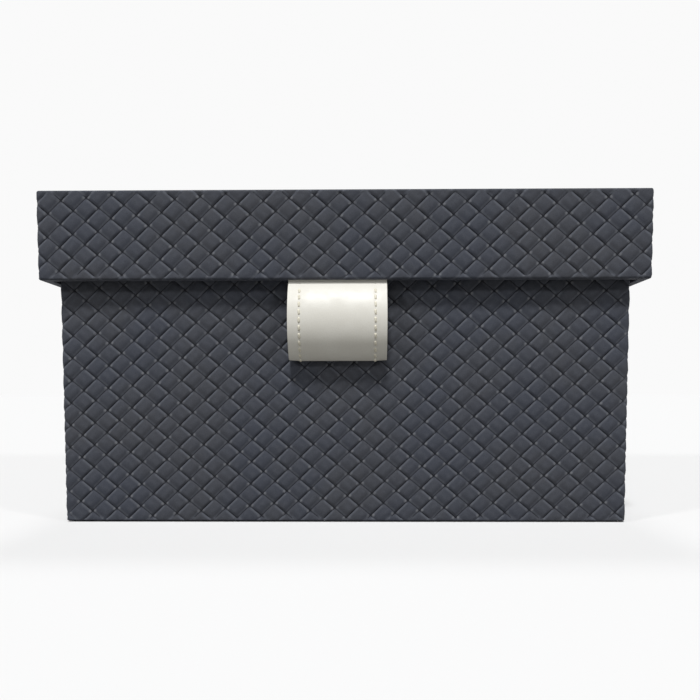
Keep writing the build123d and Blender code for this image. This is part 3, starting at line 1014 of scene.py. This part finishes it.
cloth, graph, shader, where = new_finish("Charcoal cloth", CLOTH, 0.9)
weave = use_group(
    graph, "Cloth weave", Place=where["Object"], Facing=where["Normal"], Threads_per_metre=1100.0
)
mottle = use_group(graph, "Slow mottle", Place=where["Object"], Patches_per_metre=45.0)["Mask"]
colour = graph.mix(graph.ramp(weave["Height"], 0.1, 0.9), CLOTH_DEEP, CLOTH)
colour = graph.mix(graph.math("MULTIPLY", graph.ramp(weave["Slub"], 0.5, 0.75), 0.4), colour, CLOTH_DEEP)
colour = graph.mix(graph.math("MULTIPLY", mottle, 0.2), colour, CLOTH_DEEP)
graph.tree.links.new(colour, shader.inputs["Base Color"])
set_bump(graph, shader, graph.math("ADD", weave["Height"], weave["Slub"]), 0.12 * MM)
shader.inputs["Sheen Weight"].default_value = 0.2
shader.inputs["Sheen Roughness"].default_value = 0.5

finish_for = {"board": greyboard, "tapes": kraft, "sheet": black_paper, "lining": cloth}
for name, node in frame["nodes"].items():
    kind = name.split("_")[-1]
    if kind in finish_for:
        node.data.materials.clear()
        node.data.materials.append(finish_for[kind])
        print(name, "->", finish_for[kind].name)

# %% [markdown]
# ## Floor, light and camera
# The box stands on a plain pale floor. The light is a soft source high in front, as in a product studio,
# with weaker ones from the left and the right, which pick out the ends of the strips, and one from
# behind. The pale floor and backdrop show to the camera, and the floor throws back less light than white.



# %% Floor
def is_seen(graph):
    """1 for the rays that show the background: the camera's, and those in gloss and in glass."""
    rays = graph.add("ShaderNodeLightPath").outputs
    mirrored = graph.math("MAXIMUM", rays["Is Glossy Ray"], rays["Is Transmission Ray"])
    return graph.math("MAXIMUM", rays["Is Camera Ray"], mirrored)


FLOOR_WIDTH = 60
bpy.ops.mesh.primitive_plane_add(size=FLOOR_WIDTH, location=(0, 0, 0))
floor = bpy.context.object
floor.name = floor.data.name = "studio_floor"
FLOOR_WHITE = (0.81, 0.81, 0.81)
FLOOR_FOR_LIGHT = (0.26, 0.255, 0.24)
paint, graph, shader, where = new_finish("Pale floor", FLOOR_WHITE, 0.9)
shader.inputs["Specular IOR Level"].default_value = 0.0
seen = is_seen(graph)
graph.tree.links.new(graph.mix(seen, FLOOR_FOR_LIGHT, FLOOR_WHITE), shader.inputs["Base Color"])
floor.data.materials.append(paint)
print(floor.name, "is", floor.dimensions.x, "m wide")

# %% Light
BACKDROP = (0.955, 0.955, 0.955)
world = bpy.data.worlds.new("Studio")
bpy.context.scene.world = world
world.use_nodes = True
sky = Graph(world.node_tree)
world.node_tree.nodes.clear()
backdrop = sky.add("ShaderNodeBackground", {"Color": (*BACKDROP, 1), "Strength": 1.0})
ambient = sky.add("ShaderNodeBackground", {"Color": (0.95, 0.98, 1.0, 1), "Strength": 0.06})
chosen = sky.add("ShaderNodeMixShader")
sky.tree.links.new(is_seen(sky), chosen.inputs[0])
sky.tree.links.new(ambient.outputs[0], chosen.inputs[1])
sky.tree.links.new(backdrop.outputs[0], chosen.inputs[2])
whole_sky = sky.add("ShaderNodeOutputWorld")
sky.tree.links.new(chosen.outputs[0], whole_sky.inputs["Surface"])


def soft_sun(name, azimuth, elevation, strength, width):
    """A wide soft light from that side: azimuth 0 is the front, 90 the right, in degrees."""
    bpy.ops.object.light_add(type="SUN")
    light = bpy.context.object
    light.name = light.data.name = name
    light.rotation_euler = (math.radians(90 - elevation), 0, math.radians(azimuth))
    light.data.energy = strength
    light.data.angle = math.radians(width)


soft_sun("overhead_front_light", -6, 61, 3.2, 10)
soft_sun("left_light", -50, 24, 0.55, 6)
soft_sun("right_light", 50, 24, 0.45, 6)
soft_sun("overhead_back_light", 180, 60, 0.4, 12)

# %% [markdown]
# The camera stands low, less than half a metre in front of the box, and is aimed down a little. It is
# below the lid's top, which doesn't show, and the sides of the box draw in towards its foot.

# %% Camera
CAMERA_PLACE = (9.5 * MM, -575 * MM, 74 * MM)
TILT_DOWN, ROLL, TURN_LEFT = math.radians(4.04), math.radians(0.07), math.radians(0.77)
bpy.ops.object.camera_add(location=CAMERA_PLACE)
camera = bpy.context.object
camera.name = "front_camera"
camera.rotation_euler = (math.pi / 2 - TILT_DOWN, ROLL, TURN_LEFT)
camera.data.sensor_width = 36
camera.data.lens = 41.33
camera.data.shift_y = 0.143
camera.data.clip_start = 0.01
camera.data.clip_end = 200
bpy.context.scene.camera = camera
bpy.context.scene.view_settings.view_transform = "Standard"
print("Camera at", [round(c / MM, 1) for c in camera.location], "mm")

# %% The scene brought up to date
bpy.context.view_layer.update()
